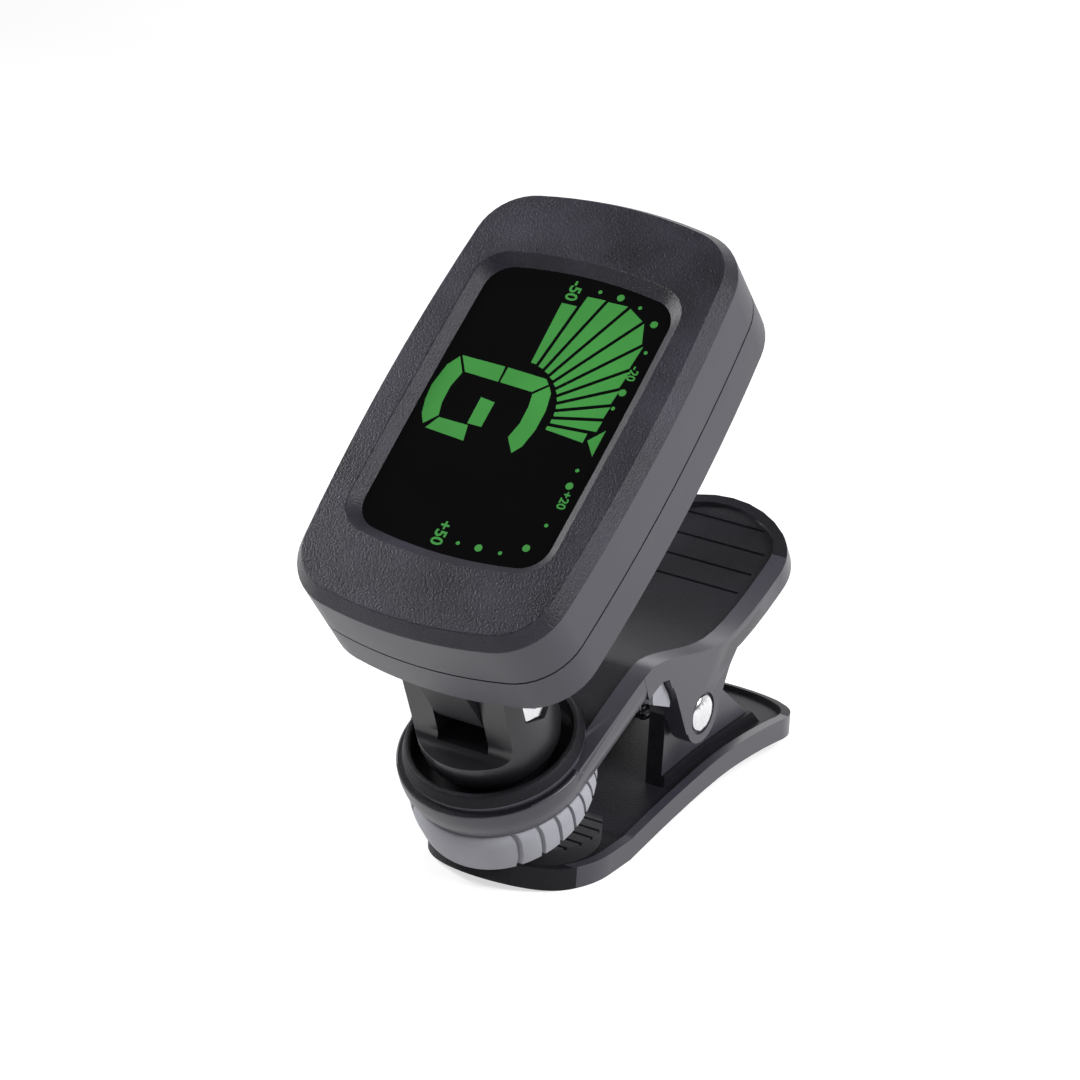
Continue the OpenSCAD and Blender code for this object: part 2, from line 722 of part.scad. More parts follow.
module upper_jaw() {
    inner_w = 2 * (collar_r - upper_ear_t);
    color("#4a4951") difference() {
        union() {
            at_pin() difference() {
                upper_plate();
                intersection() {
                    wide(2 * (collar_r - upper_rim_w)) polygon(concat(
                        along(upper_line, 3), backwards(along(upper_line, -rim_h))
                    ));
                    thumb_end(upper_rim_w, rim_w);
                }
                groove_cuts();
                // Dish round the collar's mouth
                translate([0, -collar_reach, collar_rise]) rotate([collar_tilt, 0, 0])
                    translate([0, 0, rim_top - rim_h]) cylinder(r = collar_r - dish_in, h = 3);
            }
            at_collar() collar_ring();
            at_pin() difference() {
                wide(2 * collar_r) {
                    circle(r = ear_eye_r);
                    polygon([
                        [-8.4, 7.4], [-6.4, 4.5], [-ear_eye_r - 0.1, -1.2], [0, -ear_eye_r],
                        [ear_eye_r, -0.4], [4.3, 1.6], [5.5, 3.9], [7.6, 6.2], [0, 6.2]
                    ]);
                }
                wide(inner_w) square(4 * far, center = true);
            }
        }
        at_collar() {
            translate([0, 0, floor_top]) cylinder(r = bore_r, h = far);
            translate([0, 0, -far]) cylinder(r = stem_r + running + 0.05, h = 2 * far);
            translate([0, 0, -far - collar_h + 1.4]) cylinder(r = collar_r - 1.5, h = far);
        }
        at_pin() {
            rod(pin_r + running, -far, far);
            for (s = [-1, 1]) rotate([0, s * 90, 0]) translate([0, 0, pin_seat - 0.05])
                cylinder(r = pin_head_r + 0.3, h = far);
        }
    }
}
// Grip grooves across the thumb plate, the last one shorter where the plate rounds off
module groove_cuts() {
    depth = 0.3;
    wide_cut = 0.35;
    from_edge = 2.85;
    long = 2 * (collar_r - upper_rim_w) - 2.4;
    short = long - 3.4;
    plate = upper_line[2];
    for (i = [0:grooves - 1]) {
        t = 1 - (from_edge + i * groove_pitch) / norm(slope(plate, 1));
        at = bezier(plate, t) - rim_h * left_of(slope(plate, t));
        translate([0, at[0], at[1]]) rotate([atan2(slope(plate, t)[1], slope(plate, t)[0]), 0, 0])
            cube([i == 0 ? short : long, wide_cut, 2 * depth], center = true);
    }
}
// The pad's bulging body under a round shoulder, cut off along the gripping face
module pad_body(shrink = 0) {
    r = collar_r - pad_inset - shrink;
    top = -collar_h - fit;
    intersection() {
        rotate_extrude() polygon(concat(
            [[0, top]],
            [for (a = [90:-15:0]) [r - 0.5 + 0.5 * cos(a), top - 1.4 + 1.4 * sin(a)]],
            [[r - 0.1, top - 3], [r - 0.5, top - 5], [r - 1.7, -3 * collar_h], [0, -3 * collar_h]]
        ));
        translate([0, 0, -collar_h - pad_h + shrink]) rotate([pad_tilt, 0, 0])
            translate([-far / 2, -far / 2, 0]) cube(far);
    }
}
module upper_pad() {
    top = -collar_h + 1.4;
    color("#9a99a2") difference() {
        union() {
            at_collar() difference() {
                union() {
                    pad_body();
                    translate([0, 0, -collar_h - 1])
                        cylinder(r = collar_r - 1.6, h = top + collar_h + 1);
                }
                translate([0, 0, top - 2.5]) cylinder(r = washer_r + 0.5, h = 3);
            }
            difference() {
                at_pin() pad_strip();
                at_collar() translate([0, 0, -collar_h]) cylinder(r = collar_r + fit, h = far);
            }
        }
        // Grooves between the ribs, from ahead of the middle to the rear
        at_collar() difference() {
            for (y = [rib_first:rib_pitch:collar_r - 2])
                translate([-far / 2, y - rib_gap / 2, -far - collar_h - fit])
                    cube([far, rib_gap, far]);
            pad_body(rib_gap);
        }
    }
}
// Rubber block that ends the pad by the hinge, and the tongue that ties it to the pad
module pad_strip() {
    block_w = 2 * (collar_r - upper_ear_t) - 0.6;
    under = saddle_z - upper_t;
    arm = along([upper_line[0]], -upper_t);
    saddle = along([upper_line[1]], -upper_t);
    wide(tongue_w) polygon(concat([for (i = [4:8]) arm[i]], [
        [saddle_y + 1, under - 0.1], [saddle_y + 1, under - 1.4], [saddle_y, under - 1.6],
        [
            -collar_reach + tilt_y(collar_r, -collar_h - 0.5, collar_tilt),
            collar_rise + tilt_z(collar_r, -collar_h - 0.5, collar_tilt)
        ],
        [
            -collar_reach + tilt_y(collar_r - 2, -collar_h - 0.5, collar_tilt),
            collar_rise + tilt_z(collar_r - 2, -collar_h - 0.5, collar_tilt)
        ]
    ]));
    wide(block_w) polygon(concat([for (i = [0:4]) saddle[i]], [
        [saddle_y + 6.9, under - 2.6], [saddle_y + 6.3, under - 3.3], [saddle_y + 3, under - 3],
        [saddle_y - 0.3, under - 1.2]
    ]));
    // Ahead of the jaw's ears it is almost as wide as the arm
    wide(2 * collar_r - 1.8) polygon([
        saddle[1], [saddle_y + 1.4, under - 2.5], [saddle_y + 1.6, under - 3.05],
        [saddle_y + 5.2, under - 4.55], [saddle_y + 5.35, under - 4],
        [saddle_y + 4.7, under - 2.75], saddle[2]
    ]);
}

// ---------- lower jaw ----------
module lower_plan(inset = 0) {
    translate([0, nose_y]) circle(r = collar_r - inset);
    intersection() {
        plan_end(lower_thumb, inset, inset);
        translate([-far, nose_y]) square(2 * far);
    }
}
module lower_jaw() {
    rim_line = along(lower_line, lower_t);
    color("#3b3a41") at_pin() difference() {
        union() {
            difference() {
                intersection() {
                    wide(2 * collar_r) polygon(concat(along(lower_line), backwards(rim_line)));
                    translate([0, 0, -far]) linear_extrude(2 * far) lower_plan();
                }
                intersection() {
                    wide(2 * collar_r) polygon(concat(
                        along(lower_line, lower_t - rim_h), backwards(along(lower_line, far / 4))
                    ));
                    translate([0, 0, -far]) linear_extrude(2 * far) lower_plan(rim_w);
                }
            }
            for (s = [-1, 1]) scale([s, 1, 1]) {
                translate([lower_ear_x - lower_ear_t, 0, 0]) rotate([90, 0, 90]) {
                    linear_extrude(lower_ear_t) {
                        polygon([
                            [-3.1, ear_base], [19.6, ear_base - 0.4], [9.8, -1.5], [4.4, 2.4],
                            [0, 3.1], [-3.1, 0]
                        ]);
                        circle(r = 3.1);
                    }
                    // Ledge along the ear's foot
                    linear_extrude(lower_ear_t + ledge_w) polygon([
                        [-3.1, ear_base], [-3.1, ear_base + 1.8], [3.5, ear_base + 2.4],
                        [10, ear_base + 2.6], [16.4, ear_base + 2.6], [19.6, ear_base - 0.4]
                    ]);
                }
            }
        }
        rod(pin_r, -far, far);
    }
}
// Band of the lower pad, lying along the floor of the jaw
module lower_pad_band(shrink = 0) {
    floor_h = lower_t - rim_h;
    wide(3 * collar_r) polygon(concat(
        along(lower_line, floor_h - shrink),
        backwards(along(lower_line, floor_h + lower_pad_t - shrink))
    ));
}
module lower_pad() {
    pad_r = collar_r - 2.4;
    color("#1f1f23") at_pin() intersection() {
        difference() {
            lower_pad_band();
            difference() {
                for (i = [-3:3]) translate([-far / 2, nose_y + i * rib_pitch - rib_gap / 2, -far])
                    cube([far, rib_gap, 2 * far]);
                lower_pad_band(rib_gap);
            }
        }
        translate([0, nose_y, -far]) cylinder(r = pad_r, h = 2 * far);
        translate([-far, nose_y - pad_r, -far]) cube([2 * far, 1.6 * pad_r, 2 * far]);
    }
}

// ---------- hinge ----------
module hinge_pin() {
    color("#e2e3e6") at_pin() {
        rod(pin_r, -pin_seat - eps, pin_seat + eps);
        for (s = [-1, 1]) rotate([0, s * 90, 0]) translate([0, 0, pin_seat]) rotate_extrude()
            polygon(concat(
                [[0, 0]], [for (a = [0:15:90]) [pin_head_r * cos(a), pin_head_h * sin(a)]]
            ));
    }
}
module torsion_spring() {
    coil_half = lower_ear_x - lower_ear_t - 1.2;
    leg = 12;
    color("#b9bbbf") at_pin() {
        difference() {
            rod(coil_r + wire_d / 2, -coil_half, coil_half);
            rod(coil_r - wire_d / 2, -coil_half - 1, coil_half + 1);
        }
        // One leg presses up under the thumb plate, the other down on the lower jaw
        translate([coil_half - wire_d / 2, 0, coil_r]) rotate([-75, 0, 0])
            cylinder(d = wire_d, h = leg);
        translate([-coil_half + wire_d / 2, 0, -coil_r]) rotate([-114, 0, 0])
            cylinder(d = wire_d, h = leg);
    }
}

front_shell();
lens_window();
display_gasket();
lcd_panel();
light_guide();
zebra_strip();
circuit_board();
driver_chip();
quartz_crystal();
tact_switch();
switch_plunger();
power_button();
contact_positive();
contact_negative();
cell_holder();
coin_cell();
piezo_disc();
rear_shell();
battery_cover();
housing_screws();
turret();
tilt_screw();
tilt_nut();
swivel_screw();
swivel_washer();
friction_ring();
upper_jaw();
upper_pad();
lower_jaw();
lower_pad();
hinge_pin();
torsion_spring();
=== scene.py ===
"""Looks of a clip-on tuner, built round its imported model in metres, in the model's own frame."""

import json
import math

import bpy
from mathutils import Matrix, Vector


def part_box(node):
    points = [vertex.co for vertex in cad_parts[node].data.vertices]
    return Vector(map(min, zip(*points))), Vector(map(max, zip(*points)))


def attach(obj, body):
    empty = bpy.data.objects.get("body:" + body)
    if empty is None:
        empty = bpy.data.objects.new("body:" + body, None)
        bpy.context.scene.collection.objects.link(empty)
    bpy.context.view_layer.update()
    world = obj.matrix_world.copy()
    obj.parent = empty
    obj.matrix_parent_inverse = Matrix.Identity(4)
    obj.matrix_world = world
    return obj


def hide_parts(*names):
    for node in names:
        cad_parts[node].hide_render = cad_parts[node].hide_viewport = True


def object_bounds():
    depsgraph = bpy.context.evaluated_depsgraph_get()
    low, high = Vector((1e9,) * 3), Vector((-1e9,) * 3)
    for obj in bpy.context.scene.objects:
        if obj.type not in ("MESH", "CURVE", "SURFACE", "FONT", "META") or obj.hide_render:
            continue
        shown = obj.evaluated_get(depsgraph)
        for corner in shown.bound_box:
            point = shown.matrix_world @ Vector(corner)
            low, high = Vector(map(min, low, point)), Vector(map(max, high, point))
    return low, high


bl_info = {
    "name": "Clip-on tuner",
    "version": (1, 0, 0),
    "blender": (4, 5, 0),
    "location": "3D View > Sidebar > Tuner",
    "description": "Builds the looks of a clip-on tuner round its packed model",
    "category": "Add Mesh",
}

MM = 0.001
ACROSS = Vector((1, 0, 0))
# Edges that turn by more than this stay crisp in the shading and are rounded by the bevels
SHARP_ANGLE = math.radians(32)

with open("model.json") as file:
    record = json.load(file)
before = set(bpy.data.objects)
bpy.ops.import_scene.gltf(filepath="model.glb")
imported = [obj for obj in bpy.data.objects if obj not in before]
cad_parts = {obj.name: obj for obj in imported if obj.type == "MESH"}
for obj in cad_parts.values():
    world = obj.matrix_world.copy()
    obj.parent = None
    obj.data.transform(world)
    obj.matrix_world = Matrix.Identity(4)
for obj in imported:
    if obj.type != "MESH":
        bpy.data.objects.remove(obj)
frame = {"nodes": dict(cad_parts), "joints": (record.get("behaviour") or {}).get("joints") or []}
cad_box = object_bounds()
NODES = frame["nodes"]
JOINTS = {joint["name"]: joint for joint in frame["joints"]}

# The head's own frame: its back's centre, the display's normal and the way its length runs
HEAD_BACK = Vector(JOINTS["cover_turn"]["pos_m"])
NORMAL = Vector(JOINTS["cover_turn"]["axis"]).normalized()
LENGTH = NORMAL.cross(ACROSS)
PIN = Vector(JOINTS["jaw_open"]["pos_m"])
COLLAR = Vector(JOINTS["head_swivel"]["pos_m"])
SWIVEL = Vector(JOINTS["head_swivel"]["axis"]).normalized()


# ---------- colours and nodes ----------
def linear(hex_code):
    """A linear RGBA colour from an sRGB hex code."""
    values = [int(hex_code[i : i + 2], 16) / 255 for i in (1, 3, 5)]
    return (
        *(v / 12.92 if v <= 0.04045 else ((v + 0.055) / 1.055) ** 2.4 for v in values),
        1.0,
    )


def add(tree, kind, inputs=None, links=None, **settings):
    """Adds a shader node with its settings, its input values and its links from (node, output)."""
    made = tree.nodes.new("ShaderNode" + kind)
    for key, value in settings.items():
        setattr(made, key, value)
    for key, value in (inputs or {}).items():
        made.inputs[key].default_value = value
    for key, (source, output) in (links or {}).items():
        tree.links.new(source.outputs[output], made.inputs[key])
    return made


def begin(name, **sockets):
    """A new material: its node tree, its shader with those sockets set, and its coordinates."""
    material = bpy.data.materials.new(name)
    material.use_nodes = True
    tree = material.node_tree
    shader = tree.nodes["Principled BSDF"]
    for key, value in sockets.items():
        shader.inputs[key.replace("_", " ")].default_value = value
    return material, tree, shader, add(tree, "TexCoord")


def per_metre(size_mm):
    """The texture scale whose grain is that many millimetres."""
    return 1 / (size_mm * MM)


def tones(tree, factor, low, high, start=0.3, end=0.7):
    """A colour ramp from low to high, driven by a (node, output) pair."""
    ramp = add(tree, "ValToRGB", links={"Fac": factor})
    ramp.color_ramp.elements[0].position = start
    ramp.color_ramp.elements[1].position = end
    ramp.color_ramp.elements[0].color = low
    ramp.color_ramp.elements[1].color = high
    return ramp


def shade(colour, share):
    """A colour made darker or lighter by that share."""
    return (*(c * share for c in colour[:3]), 1.0)


def connect(tree, shader, tint, gloss, bump=None):
    """Links a finish's colour, roughness and, if it has one, its relief to the shader."""
    tree.links.new(tint.outputs["Color"], shader.inputs["Base Color"])
    tree.links.new(gloss.outputs["Result"], shader.inputs["Roughness"])
    if bump:
        tree.links.new(bump.outputs["Normal"], shader.inputs["Normal"])


def moulded_plastic(name, colour, rough, grain_mm, relief_mm, contrast=0.12, reflectance=0.5):
    """Moulded plastic: a fine grain from the tool's surface, a cloudy tone and uneven gloss."""
    material, tree, shader, coords = begin(name, IOR=1.5, Specular_IOR_Level=reflectance)
    grain = add(
        tree, "TexNoise", {"Scale": per_metre(grain_mm), "Detail": 2.0, "Roughness": 0.6},
        {"Vector": (coords, "Object")},
    )
    clouds = add(
        tree, "TexNoise", {"Scale": per_metre(9), "Detail": 3.0},
        {"Vector": (coords, "Object")},
    )
    mixed = add(tree, "Math", {1: 0.35}, {0: (grain, "Fac"), 2: (clouds, "Fac")}, operation="MULTIPLY_ADD")
    tint = tones(
        tree, (mixed, "Value"), shade(colour, 1 - contrast), shade(colour, 1 + contrast), 0.45, 0.9
    )
    gloss = add(
        tree, "MapRange", {"To Min": rough - 0.06, "To Max": rough + 0.06}, {"Value": (clouds, "Fac")}
    )
    bump = add(
        tree, "Bump", {"Distance": relief_mm * MM, "Strength": 1.0}, {"Height": (grain, "Fac")}
    )
    connect(tree, shader, tint, gloss, bump)
    return material


def plated_metal(name, colour, rough, grain_mm=0.6, relief_mm=0.004):
    """Bright plated steel: mirror-like, with the soft unevenness of the blank under the plating."""
    material, tree, shader, coords = begin(name, Metallic=1.0)
    waves = add(
        tree, "TexNoise", {"Scale": per_metre(grain_mm), "Detail": 2.0}, {"Vector": (coords, "Object")}
    )
    tint = tones(tree, (waves, "Fac"), shade(colour, 0.9), shade(colour, 1.0))
    gloss = add(tree, "MapRange", {"To Min": rough, "To Max": rough + 0.1}, {"Value": (waves, "Fac")})
    bump = add(tree, "Bump", {"Distance": relief_mm * MM}, {"Height": (waves, "Fac")})
    connect(tree, shader, tint, gloss, bump)
    return material


def drawn_wire(name, colour):
    """Drawn spring steel: fine die lines along the wire, satin bright."""
    material, tree, shader, coords = begin(name, Metallic=1.0)
    lines = add(
        tree, "TexNoise", {"Scale": per_metre(0.25), "Detail": 4.0}, {"Vector": (coords, "Object")}
    )
    tint = tones(tree, (lines, "Fac"), shade(colour, 0.75), shade(colour, 1.05))
    gloss = add(tree, "MapRange", {"To Min": 0.22, "To Max": 0.42}, {"Value": (lines, "Fac")})
    connect(tree, shader, tint, gloss)
    return material


def moulded_rubber(name, colour):
    """Moulded rubber: matte and a little chalky, with pores too fine to see but for a soft mottle."""
    material, tree, shader, coords = begin(
        name, IOR=1.5, Specular_IOR_Level=0.3, Sheen_Weight=0.15, Sheen_Roughness=0.5
    )
    pores = add(
        tree, "TexNoise", {"Scale": per_metre(0.3), "Detail": 3.0}, {"Vector": (coords, "Object")}
    )
    chalk = add(
        tree, "TexNoise", {"Scale": per_metre(5), "Detail": 4.0}, {"Vector": (coords, "Object")}
    )
    mixed = add(tree, "Math", {1: 0.3}, {0: (pores, "Fac"), 2: (chalk, "Fac")}, operation="MULTIPLY_ADD")
    tint = tones(tree, (mixed, "Value"), shade(colour, 0.9), shade(colour, 1.08), 0.4, 0.9)
    gloss = add(tree, "MapRange", {"To Min": 0.6, "To Max": 0.78}, {"Value": (chalk, "Fac")})
    bump = add(tree, "Bump", {"Distance": 0.02 * MM}, {"Height": (pores, "Fac")})
    connect(tree, shader, tint, gloss, bump)
    return material


def polished_window(name, colour):
    """Polished acrylic, smoked almost black: sharp but faint reflections, with the slightest haze."""
    material, tree, shader, coords = begin(name, IOR=1.49, Specular_IOR_Level=0.25)
    haze = add(
        tree, "TexNoise", {"Scale": per_metre(6), "Detail": 2.0}, {"Vector": (coords, "Object")}
    )
    tint = tones(tree, (haze, "Fac"), shade(colour, 0.9), shade(colour, 1.1))
    gloss = add(tree, "MapRange", {"To Min": 0.07, "To Max": 0.12}, {"Value": (haze, "Fac")})
    connect(tree, shader, tint, gloss)
    return material


def lit_display_ink(name, colour):
    """Backlit display segments: an even green with a faint glow, a touch uneven as the backlight is."""
    material, tree, shader, coords = begin(
        name, IOR=1.49, Specular_IOR_Level=0.2, Emission_Strength=0.12
    )
    glow = add(
        tree, "TexNoise", {"Scale": per_metre(8), "Detail": 1.0}, {"Vector": (coords, "Object")}
    )
    tint = tones(tree, (glow, "Fac"), shade(colour, 0.92), shade(colour, 1.08))
    tree.links.new(tint.outputs["Color"], shader.inputs["Base Color"])
    tree.links.new(tint.outputs["Color"], shader.inputs["Emission Color"])
    shader.inputs["Roughness"].default_value = 0.3
    return material


def solder_mask(name, colour):
    """Green solder mask over copper tracks: straight lighter runs under a glossy coat."""
    material, tree, shader, coords = begin(name, IOR=1.5, Coat_Weight=0.4)
    tracks = add(
        tree, "TexBrick",
        {"Scale": per_metre(6), "Mortar Size": 0.06, "Color1": shade(colour, 0.8),
         "Color2": colour, "Mortar": shade(colour, 1.7)},
        {"Vector": (coords, "Object")},
    )
    tree.links.new(tracks.outputs["Color"], shader.inputs["Base Color"])
    shader.inputs["Roughness"].default_value = 0.35
    return material


# ---------- modelling ----------
def deselect():
    """Leaves nothing selected."""
    if bpy.context.object and bpy.context.object.mode != "OBJECT":
        bpy.ops.object.mode_set(mode="OBJECT")
    bpy.ops.object.select_all(action="DESELECT")


def pick(obj):
    """Makes obj the only one selected, and the active one."""
    deselect()
    obj.select_set(True)
    bpy.context.view_layer.objects.active = obj


def apply_all(obj):
    """Applies obj's modifiers in order, then its place."""
    pick(obj)
    for modifier in list(obj.modifiers):
        bpy.ops.object.modifier_apply(modifier=modifier.name)
    bpy.ops.object.transform_apply(location=True, rotation=True, scale=True)


def faces_out(obj):
    """Merges doubled points and turns every face outwards."""
    pick(obj)
    bpy.ops.object.mode_set(mode="EDIT")
    bpy.ops.mesh.select_all(action="SELECT")
    bpy.ops.mesh.remove_doubles(threshold=0.002 * MM)
    bpy.ops.mesh.normals_make_consistent(inside=False)
    bpy.ops.object.mode_set(mode="OBJECT")


def softened(node, name, body, material, width_mm, segments=2):
    """A copy of a CAD node with its sharp edges rounded."""
    source = NODES[node]
    piece = bpy.data.objects.new(name, source.data.copy())
    bpy.context.scene.collection.objects.link(piece)
    pick(piece)
    bpy.ops.object.mode_set(mode="EDIT")
    bpy.ops.mesh.select_all(action="SELECT")
    bpy.ops.mesh.remove_doubles(threshold=0.004 * MM)
    bpy.ops.mesh.dissolve_limited(angle_limit=math.radians(0.6))
    bpy.ops.mesh.select_all(action="DESELECT")
    bpy.ops.mesh.select_mode(type="EDGE")
    bpy.ops.mesh.edges_select_sharp(sharpness=SHARP_ANGLE)
    bpy.ops.object.mode_set(mode="OBJECT")
    mesh = piece.data
    picked = [edge.select for edge in mesh.edges]
    bpy.ops.object.shade_smooth_by_angle(angle=SHARP_ANGLE)
    weights = mesh.attributes.new("bevel_weight_edge", "FLOAT", "EDGE")
    for edge in mesh.edges:
        if picked[edge.index]:
            weights.data[edge.index].value = 1.0
    bevel = piece.modifiers.new("rounded edges", "BEVEL")
    bevel.limit_method = "WEIGHT"
    bevel.width = width_mm * MM
    bevel.segments = segments
    bevel.use_clamp_overlap = True
    even = piece.modifiers.new("flat faces stay flat", "WEIGHTED_NORMAL")
    even.keep_sharp = True
    apply_all(piece)
    mesh.materials.clear()
    mesh.materials.append(material)
    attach(piece, body)
    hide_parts(node)
    return piece


def finish_piece(piece, body, material, nodes=()):
    """Gives a modelled piece its material, its smooth shading and the body it rides on."""
    pick(piece)
    bpy.ops.object.shade_smooth_by_angle(angle=SHARP_ANGLE)
    piece.data.materials.clear()
    piece.data.materials.append(material)
    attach(piece, body)
    if nodes:
        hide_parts(*nodes)
    return piece


def paint(node, material):
    """Puts a material on a CAD node that keeps its own shape."""
    NODES[node].data.materials.clear()
    NODES[node].data.materials.append(material)


def on_head(across_mm, along_mm, out):
    """A point of the head: mm across and along from its middle, metres out from its back."""
    return HEAD_BACK + across_mm * MM * ACROSS + along_mm * MM * LENGTH + out * NORMAL


def reach_out(node):
    """How far a CAD node reaches out from the head's back, along the display's normal."""
    return max((v.co - HEAD_BACK).dot(NORMAL) for v in NODES[node].data.vertices)


# ---------- sizes and colours ----------
class TunerSizes(bpy.types.PropertyGroup):
    """Sizes of the details that the looks add to the model."""

    housing_edge: bpy.props.FloatProperty(
        name="Housing edge", description="Rounding of the housing's edges, in millimetres", default=0.2
    )
    jaw_edge: bpy.props.FloatProperty(
        name="Jaw edge", description="Rounding of the jaws' edges, in millimetres", default=0.4
    )
    small_edge: bpy.props.FloatProperty(
        name="Small edge", description="Rounding of small parts' edges, in millimetres", default=0.15
    )
    mark_height: bpy.props.FloatProperty(
        name="Mark height", description="Thickness of the display's marks, in millimetres", default=0.02
    )
    wire: bpy.props.FloatProperty(
        name="Spring wire", description="Diameter of the spring's wire, in millimetres", default=0.9
    )
    coil_turns: bpy.props.IntProperty(
        name="Coil turns", description="Whole turns of the torsion spring", default=8, min=3, max=9
    )


def colour_choice(name, description, hex_code):
    """A colour property whose default is an sRGB hex code."""
    return bpy.props.FloatVectorProperty(
        name=name, description=description, subtype="COLOR", size=4, min=0, max=1, default=linear(hex_code)
    )


class TunerColours(bpy.types.PropertyGroup):
    """Colours of the tuner's finishes."""

    face: colour_choice("Face", "The front shell's plastic", "#292731")
    housing: colour_choice("Housing", "The rear shell's plastic", "#302e39")
    jaw: colour_choice("Jaw", "The clip's smooth plastic", "#37363f")
    # Also put on the lower jaw's floor, where this dark colour is painted shade
    panel: colour_choice("Panel", "The thumb plate's textured panel", "#19191e")
    # Also put on the rear shell's tilt knuckle as painted shade
    turret: colour_choice("Turret", "The turret's plastic", "#1d1d21")
    window: colour_choice("Window", "The display's window", "#060607")
    mark: colour_choice("Mark", "The display's lit marks", "#3c863d")
    pad: colour_choice("Pad", "The rubber pads", "#a0a0a8")
    bright: colour_choice("Bright metal", "Nickel-plated fasteners", "#e3e3e6")


def sizes():
    """The sizes the user has chosen."""
    return bpy.context.scene.tuner_sizes


def colours():
    """The colours the user has chosen, as linear RGBA."""
    return bpy.context.scene.tuner_colours


# ---------- display ----------
# Outlines in millimetres, across and along the display from its middle. The note is the letter G
# in straight and bowed segments, and reads with its head towards +X.
NOTE_SEGMENTS = [
    [(-9.2, 5.0), (-7.95, 3.2), (-3.85, 3.05), (-3.95, 4.95)],
    [(-3.6, 4.95), (-3.6, 3.05), (0.3, 2.9), (1.65, 4.2), (1.1, 4.75)],
    [(1.85, 4.0), (0.5, 2.65), (0.8, 1.2), (0.85, -0.9), (0.4, -2.8), (1.65, -4.4),
     (2.4, -3.4), (2.85, -1.2), (2.85, 1.2), (2.4, 3.3)],
    [(-9.4, 4.8), (-10.3, 3.5), (-10.75, 0.8), (-10.6, -0.9), (-10.1, -2.7), (-9.4, -3.75),
     (-8.2, -2.4), (-8.6, -0.9), (-8.65, 1.2), (-8.2, 3.05)],
    [(-8.9, -4.15), (-4.1, -4.5), (-4.5, -2.65), (-8.05, -2.6)],
    [(-4.75, 0.85), (-4.7, -2.45), (-3.0, -2.45), (-3.0, 0.65)],
]
# The gauge's scale: dots as (across, along, radius)
SCALE_DOTS = [
    (1.8, 16.1, 0.22), (4.3, 16.0, 0.42), (6.9, 15.4, 0.22), (9.3, 13.9, 0.42), (10.0, 10.5, 0.22),
    (9.8, 5.4, 0.42), (9.7, 3.4, 0.22), (9.45, -4.4, 0.22), (9.5, -6.3, 0.42), (9.3, -11.2, 0.22),
    (8.5, -14.2, 0.42), (6.1, -15.5, 0.22), (3.6, -15.6, 0.42), (1.2, -15.7, 0.22),
]
SCALE_NUMBERS = [("-50", -1.1, 15.5, 1.3), ("-20", 9.8, 7.8, 0.95), ("+20", 9.7, -8.0, 0.95),
                 ("+50", -1.2, -15.1, 1.3)]
FAN_CENTRE = (-1.5, -0.6)
FAN_CORNER = (4.8, 10.75, 4.5)
FAN_WEDGES = 11
FAN_FROM = 91.5
FAN_STEP = 8.75
FAN_GAP_MM = 0.2
# Where the wedges begin, in millimetres from the fan's centre, and how much further at the first
FAN_INNER = 5.4
FAN_INNER_RISE = 1.4
# How much shorter the first and the last wedge are
FIRST_SHORTER = 1.45
LAST_SHORTER = 0.85


def flat_mark(name, outline, out):
    """A thin plate of that outline, lying on the display."""
    bpy.ops.mesh.primitive_circle_add(vertices=len(outline), radius=MM, fill_type="NGON")
    plate = bpy.context.object
    plate.name = name
    for vertex, (across, along) in zip(plate.data.vertices, outline):
        vertex.co = on_head(across, along, out)
    plate.data.update()
    solid = plate.modifiers.new("thickness", "SOLIDIFY")
    solid.thickness = sizes().mark_height * MM
    solid.offset = 1
    apply_all(plate)
    return plate


def joined(name, parts):
    """Joins parts into one object with outward faces."""
    deselect()
    for part in parts:
        part.select_set(True)
    bpy.context.view_layer.objects.active = parts[0]
    if len(parts) > 1:
        bpy.ops.object.join()
    made = bpy.context.object
    made.name = name
    made.data.name = name
    faces_out(made)
    return made


def fan_edge(angle):
    """The fan's outer end in that direction: a rectangle with one round corner, met from the centre."""
    x0, y0 = FAN_CENTRE
    cx, cy, r = FAN_CORNER
    dx, dy = math.cos(math.radians(angle)), math.sin(math.radians(angle))
    reach = min((cx + r - x0) / dx if dx > 0.01 else 99, (cy + r - y0) / dy if dy > 0.01 else 99)
    px, py = x0 + reach * dx, y0 + reach * dy
    if px > cx and py > cy:
        b = dx * (x0 - cx) + dy * (y0 - cy)
        c = (x0 - cx) ** 2 + (y0 - cy) ** 2 - r * r
        reach = -b + math.sqrt(b * b - c)
    return reach


def fan_wedge(i, out):
    """One wedge of the gauge's fan, with even gaps to its neighbours."""
    x0, y0 = FAN_CENTRE
    top = FAN_FROM - i * FAN_STEP
    bottom = top - FAN_STEP
    middle = (top + bottom) / 2
    inner = FAN_INNER + FAN_INNER_RISE * middle / 90
    shorter = FIRST_SHORTER if i == 0 else LAST_SHORTER if i == FAN_WEDGES - 1 else 0
    sideways = (-math.sin(math.radians(middle)), math.cos(math.radians(middle)))
    outline = []
    for angle, side in ((top, -1), (bottom, 1)):
        direction = (math.cos(math.radians(angle)), math.sin(math.radians(angle)))
        ends = [inner, fan_edge(angle) - shorter]
        for reach in ends if side < 0 else reversed(ends):
            outline.append((
                x0 + reach * direction[0] + side * FAN_GAP_MM * sideways[0],
                y0 + reach * direction[1] + side * FAN_GAP_MM * sideways[1],
            ))
    return flat_mark("wedge", outline[::-1], out)


